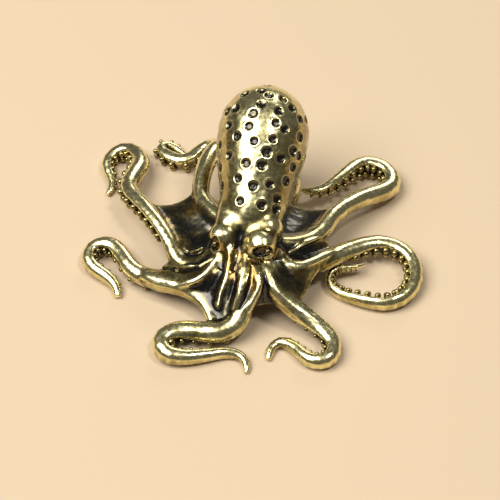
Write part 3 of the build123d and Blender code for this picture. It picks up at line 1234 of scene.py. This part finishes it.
def cut_out(skin: bpy.types.Object, chosen: np.ndarray, name: str) -> bpy.types.Object:
    """Copy some faces of the skin into a piece of their own and cap its openings.

    Args:
        skin: the whole skin.
        chosen: which faces to take.
        name: the piece's name.

    Returns:
        The piece, in millimetres.
    """
    vertices, _, faces = corners_of(skin.data)
    taken = vertices[chosen[faces]]
    used, fresh = np.unique(taken, return_inverse=True)
    ends = np.flatnonzero(np.diff(faces[chosen[faces]], prepend=-1))
    rings = [ring.tolist() for ring in np.split(fresh, ends[1:])]
    mesh = bpy.data.meshes.new(name)
    mesh.from_pydata(points_of(skin.data)[used].tolist(), [], rings)
    for layer in LAYERS:
        set_layer(mesh, layer, layer_of(skin.data, layer)[used])
    piece = add_object(name, mesh)
    with editing(piece):
        bpy.ops.mesh.select_mode(type="VERT")
        bpy.ops.mesh.select_all(action="DESELECT")
        bpy.ops.mesh.select_non_manifold(extend=False)
        bpy.ops.mesh.extrude_region()
        bpy.ops.mesh.merge(type="COLLAPSE")
        bpy.ops.mesh.select_all(action="DESELECT")
    return piece


@dataclass
class Suckers:
    """Beads along one arm's belly, cast in one with it."""

    arm: str
    size: float = 1.0               # of the frame's domes
    squash: float = 0.95

    def build(self) -> bpy.types.Object:
        """Set a smooth bead over every dome of the frame's node.

        Returns:
            The beads as one mesh, in millimetres.
        """
        plain = merged_copy(f"suckers_{self.arm}")
        spots, ends = points_of(plain.data), edges_of(plain.data)
        island = patches_of(ends, len(spots))
        bpy.ops.mesh.primitive_ico_sphere_add(subdivisions=2, radius=1.0, location=(0, 0, 0))
        bead = bpy.context.object
        beads = []
        for root in np.unique(island):
            dome = spots[island == root]
            middle = dome.mean(0)
            centre = (dome.min(0) + dome.max(0)) / 2
            radius = self.size * np.linalg.norm(dome - centre, axis=1).max()
            spread = np.linalg.svd(dome - middle, full_matrices=False)[2][2]
            copy = add_object("bead", bead.data.copy())
            turn = Vector(spread).to_track_quat("Z", "Y").to_matrix().to_4x4()
            size = Matrix.Diagonal((radius, radius, radius * self.squash, 1.0))
            copy.data.transform(Matrix.Translation(middle) @ turn @ size)
            beads.append(copy)
        bpy.data.objects.remove(bead)
        bpy.data.objects.remove(plain)
        piece = join(beads, f"suckers_{self.arm}_beads")
        set_layer(piece.data, WEAR_AND_PAINTED_LIGHT, np.full(len(piece.data.vertices), Rubbing.bead))
        return piece


@dataclass
class Eye:
    """Ball in one eye socket; sizes in millimetres."""

    place: tuple[float, float]       # as seen in the photograph
    radius: float
    proud: float                     # how far its middle stands out of the socket's floor

    def build(self, view: PhotoView, skin: BVHTree) -> bpy.types.Object:
        """Turn a smooth ball and set it in the socket.

        Args:
            view: the photograph's camera.
            skin: search tree of the casting.

        Returns:
            The ball, in millimetres.
        """
        sight = view.sight(self.place)
        floor = skin.ray_cast(Vector(view.eye()), sight)[0]
        bpy.ops.mesh.primitive_uv_sphere_add(
            segments=EYE_SEGMENTS, ring_count=EYE_SEGMENTS // 2, radius=self.radius,
            location=floor - sight * self.proud,
        )
        ball = bpy.context.object
        bpy.ops.object.transform_apply(location=True, rotation=True, scale=True)
        set_layer(ball.data, WEAR_AND_PAINTED_LIGHT, np.full(len(ball.data.vertices), Rubbing.ball))
        return ball


def finish_piece(
    piece: bpy.types.Object, material: bpy.types.Material, nodes: list[str], name: str
) -> None:
    """Bring a piece to metres, dress it and tie it to the frame.

    Args:
        piece: the mesh, in millimetres.
        material: what it is made of.
        nodes: the CAD nodes that it stands for.
        name: its name in the table.
    """
    set_points(piece.data, np.clip(points_of(piece.data), BOX_LOW, BOX_HIGH))
    piece.data.transform(Matrix.Scale(MM, 4))
    piece.data.materials.clear()
    piece.data.materials.append(material)
    piece.data.polygons.foreach_set("use_smooth", np.ones(len(piece.data.polygons), bool))
    if CAST_NORMAL in piece.data.attributes:
        rows = layer_of(piece.data, CAST_NORMAL)
        piece.data.normals_split_custom_set_from_vertices(rows.tolist())
        piece.data.attributes.remove(piece.data.attributes[CAST_NORMAL])
    piece.data.update()
    piece.name = piece.data.name = name
    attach(piece, BODY)
    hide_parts(*nodes)
    LOG.info("%s: %d faces", name, len(piece.data.polygons))


# Chased marks. Shade above 0 keeps patina in creases; below 0 it lightens raised folds, partly as
# rubbed metal and partly as painted highlight lines. Some carry ochre tarnish.
FOLDS_AND_PAINTED_LIGHT = (
    Mark(((217, 254), (213, 264), (206, 274), (197, 281), (185, 286)), 0.30, 0.05, shade=-0.30),
    Mark(((213, 258), (200, 266), (183, 266)), 0.20, 0.18, shade=-0.15),
    Mark(
        ((230, 246), (230, 258), (229, 270), (225, 283), (220, 295), (218, 307)), 0.26, 0.05,
        shade=-0.28,
    ),
    Mark(((247, 256), (245, 266), (242, 278), (240, 292), (236, 305)), 0.26, 0.05, shade=-0.30),
    Mark(((257, 266), (260, 278), (258, 290), (253, 300), (246, 311)), 0.26, 0.05, shade=-0.25),
    Mark(((224, 266), (219, 277), (209, 292)), 0.50, 0.10, Side.SUNK, shade=0.12),
    Mark(((236, 264), (235, 280), (229, 300)), 0.34, 0.16, Side.SUNK, shade=0.20),
    Mark(((252, 266), (251, 283), (246, 298), (240, 309)), 0.36, 0.32, Side.SUNK, shade=0.30),
    Mark(((265, 270), (267, 284), (267, 296)), 0.34, 0.12, Side.SUNK, shade=0.20),
    Mark(((214, 311), (223, 313), (233, 311)), 0.60, 0.06, Side.SUNK, shade=0.25),
    Mark(((210, 290), (217, 300)), 0.50, 0.04, Side.SUNK, shade=0.15),
    # Painted highlight along the back-left arm's left edge.
    Mark(((197, 204), (198, 190), (200, 176), (204, 164), (209, 155)), 0.24, 0.05, shade=-0.25),
    # Painted shade: the back-left arm's right flank darkened in colour only.
    Mark(((206, 206), (206, 190), (208, 176), (211, 166)), 0.60, 0.0, shade=0.35),
    # Sunk valley with a painted highlight patch.
    Mark(((274, 266), (283, 272), (293, 277)), 0.60, 0.10, Side.SUNK, shade=-0.14),
    Mark(
        ((281, 253), (287, 263), (297, 268), (309, 264), (327, 256), (345, 247)), 0.30, 0.05,
        shade=-0.32,
    ),
    Mark(((289, 253), (305, 243), (320, 237)), 0.24, 0.24, shade=-0.3),
    # Painted highlight along the front-right arm's flank.
    Mark(((270, 284), (281, 296), (300, 312)), 0.34, 0.08, shade=-0.25),
    Mark(((166, 281), (183, 287), (198, 296), (207, 308), (211, 318)), 0.40, 0.04, shade=-0.35),
    Mark(((240, 228), (239, 238), (238, 248)), 0.50, 0.10, Side.SUNK, shade=0.14),
    Mark(
        ((220, 244), (226, 252), (230, 262), (231, 276)), 0.55, 0.0,
        taper=0.1, warm=1.0, shade=0.30,
    ),
    Mark(
        ((246, 256), (250, 266), (253, 276), (254, 286)), 0.60, 0.0,
        taper=0.2, warm=1.0, shade=0.25,
    ),
    Mark(((254, 260), (263, 262), (272, 257)), 0.32, 0.14, taper=0.2, warm=0.8, shade=-0.20),
    Mark(((272, 234), (276, 244), (275, 254)), 0.40, 0.0, taper=0.2, warm=0.8, shade=0.15),
    Mark(((254, 246), (261, 247), (270, 245)), 0.26, 0.05, taper=0.2, warm=0.8, shade=-0.15),
    Mark(((212, 236), (211, 244), (213, 251)), 0.24, 0.0, warm=0.40, shade=-0.1),
)

FLOWS = (
    Flow((-2.5, -2.3, 6.05), (-1.7, 2.0, 7.4), 1.40, 1.9),
    Flow((1.35, -2.8, 6.0), (1.5, 2.0, 7.4), 1.62, 2.1),
    Flow((-2.2, -2.0, 5.9), (1.2, -2.4, 5.8), 1.30, 1.45),
    Flow((-1.8, -0.9, 6.7), (1.8, -1.1, 6.7), 1.60, 1.70),
    Flow((0.8, -3.5, 5.1), (2.9, -3.2, 5.05), 1.05, 0.95),
)

RIBS = (
    Rib((
        (217, 253, 5.0, 0.40), (214, 263, 4.8, 0.42), (207, 273, 4.4, 0.42), (197, 280, 3.9, 0.45),
        (184, 285, 3.2, 0.45), (174, 286, 2.6, 0.40),
    )),
    Rib((
        (230, 240, 6.4, 0.50), (230, 250, 6.0, 0.55), (230, 260, 5.4, 0.50), (228, 270, 5.0, 0.42),
        (224, 284, 4.2, 0.36), (220, 296, 3.4, 0.32), (218, 308, 2.7, 0.28),
    )),
    Rib((
        (247, 250, 5.9, 0.50), (246, 260, 5.5, 0.52), (244, 268, 5.3, 0.46), (242, 278, 5.1, 0.40),
        (240, 292, 4.5, 0.36), (236, 304, 3.6, 0.32), (234, 313, 2.8, 0.28),
    )),
    Rib((
        (256, 263, 5.3, 0.45), (260, 276, 5.2, 0.45), (259, 288, 4.8, 0.45), (254, 300, 3.9, 0.45),
        (247, 311, 3.0, 0.45),
    )),
    Rib((
        (138, 274, 1.6, 0.55), (150, 279, 1.8, 0.95), (161, 282.5, 2.0, 1.05),
        (173, 285, 2.3, 1.0), (185, 289, 2.4, 0.90), (197, 296.5, 2.2, 0.75),
        (206, 307, 1.9, 0.58), (210, 316, 1.8, 0.50), (214, 325, 1.4, 0.50),
        (222, 331, 1.0, 0.45),
    )),
    Rib((
        (279, 247, 5.1, 0.42), (283, 257, 4.8, 0.48), (289, 264, 4.6, 0.52), (298, 267, 4.2, 0.58),
        (309, 264, 3.8, 0.66), (322, 258, 3.3, 0.72), (337, 252, 2.6, 0.66), (352, 245, 2.0, 0.45),
    )),
)

SOCKETS = (
    Socket((215, 243.5), (4.2, 7.6), 0.55, turn=-6.0),
    Socket((262.5, 251.5), (10.5, 5.6), 0.60, turn=-6.0),
)

EYES = {"left": Eye((215, 244), 0.36, -0.10), "right": Eye((268, 251.5), 0.42, -0.05)}

APRON = Apron((
    ((217, 254, 5.2), (213, 264, 5.0), (206, 274, 4.6), (197, 281, 4.0), (184, 286, 3.2)),
    ((223, 257, 5.2), (219, 269, 4.6), (211, 282, 3.7), (204, 291, 2.8), (199, 299, 1.8)),
    ((229, 260, 5.4), (228, 270, 5.0), (224, 284, 4.2), (218, 297, 3.1), (208, 311, 1.5)),
    ((236, 261, 5.4), (235, 273, 4.8), (232, 288, 3.9), (226, 302, 2.8), (214, 321, 1.4)),
    ((244, 263, 5.6), (243, 274, 5.4), (241, 288, 4.8), (237, 300, 4.0), (233, 314, 2.6)),
    ((251, 265, 5.5), (251, 276, 5.0), (249, 289, 4.3), (246, 301, 3.5), (241, 314, 2.6)),
    ((258, 267, 5.4), (260, 278, 5.3), (258, 289, 4.9), (254, 299, 4.1), (247, 312, 2.8)),
    ((264, 267, 5.0), (266, 277, 4.6), (267, 287, 3.7), (267, 295, 2.9), (266, 302, 2.1)),
    ((269, 265, 5.3), (275, 277, 5.3), (281, 288, 4.8), (288, 298, 4.0), (296, 309, 2.9)),
    ((273, 262, 5.1), (283, 272, 4.6), (292, 281, 3.9), (300, 288, 3.1), (307, 292, 2.4)),
    ((275, 259, 5.1), (286, 269, 4.8), (296, 275, 4.3), (305, 279, 3.6), (314, 277, 2.9)),
    ((277, 256, 5.1), (288, 265, 4.9), (300, 267, 4.6), (316, 261, 4.1), (333, 254, 3.3)),
))

SUCKER_SIZES = {"front_left": 0.68, "front_right": 0.68, "left_front": 0.72, "right_back": 0.85}

ARM_STARTS = {
    "front_left": 9.0, "front_right": 8.0, "right_front": 9.5, "right_back": 10.0,
    "back_right": 8.5, "back_left": 11.0, "left_back": 15.5, "left_front": 9.0,
}


def main() -> None:
    """Build, dress and report every piece."""
    logging.basicConfig(level=logging.INFO, format="%(message)s")
    deselect()
    view = PhotoView()
    view.build()
    Studio().build()
    brass = AntiqueBrass().material()

    casting = Casting(view, Mantle(), APRON, FOLDS_AND_PAINTED_LIGHT, FLOWS, RIBS, SOCKETS, ARM_STARTS)
    skin = casting.build()
    tree = tree_of(skin.data)
    eyes = {side: eye.build(view, tree) for side, eye in EYES.items()}
    for name, piece in casting.share_out(skin).items():
        nodes = ["head", "web"] if name == "head" else [name]
        shown = "head_and_web_cast" if name == "head" else f"{name}_cast"
        finish_piece(piece, brass, nodes, shown)
    for arm in ARMS:
        beads = Suckers(arm, SUCKER_SIZES.get(arm, 1.0)).build()
        finish_piece(beads, brass, [f"suckers_{arm}"], f"suckers_{arm}_beads")
    for side, ball in eyes.items():
        finish_piece(ball, brass, [f"eye_{side}"], f"eye_{side}_ball")


if __name__ == "__main__":
    main()
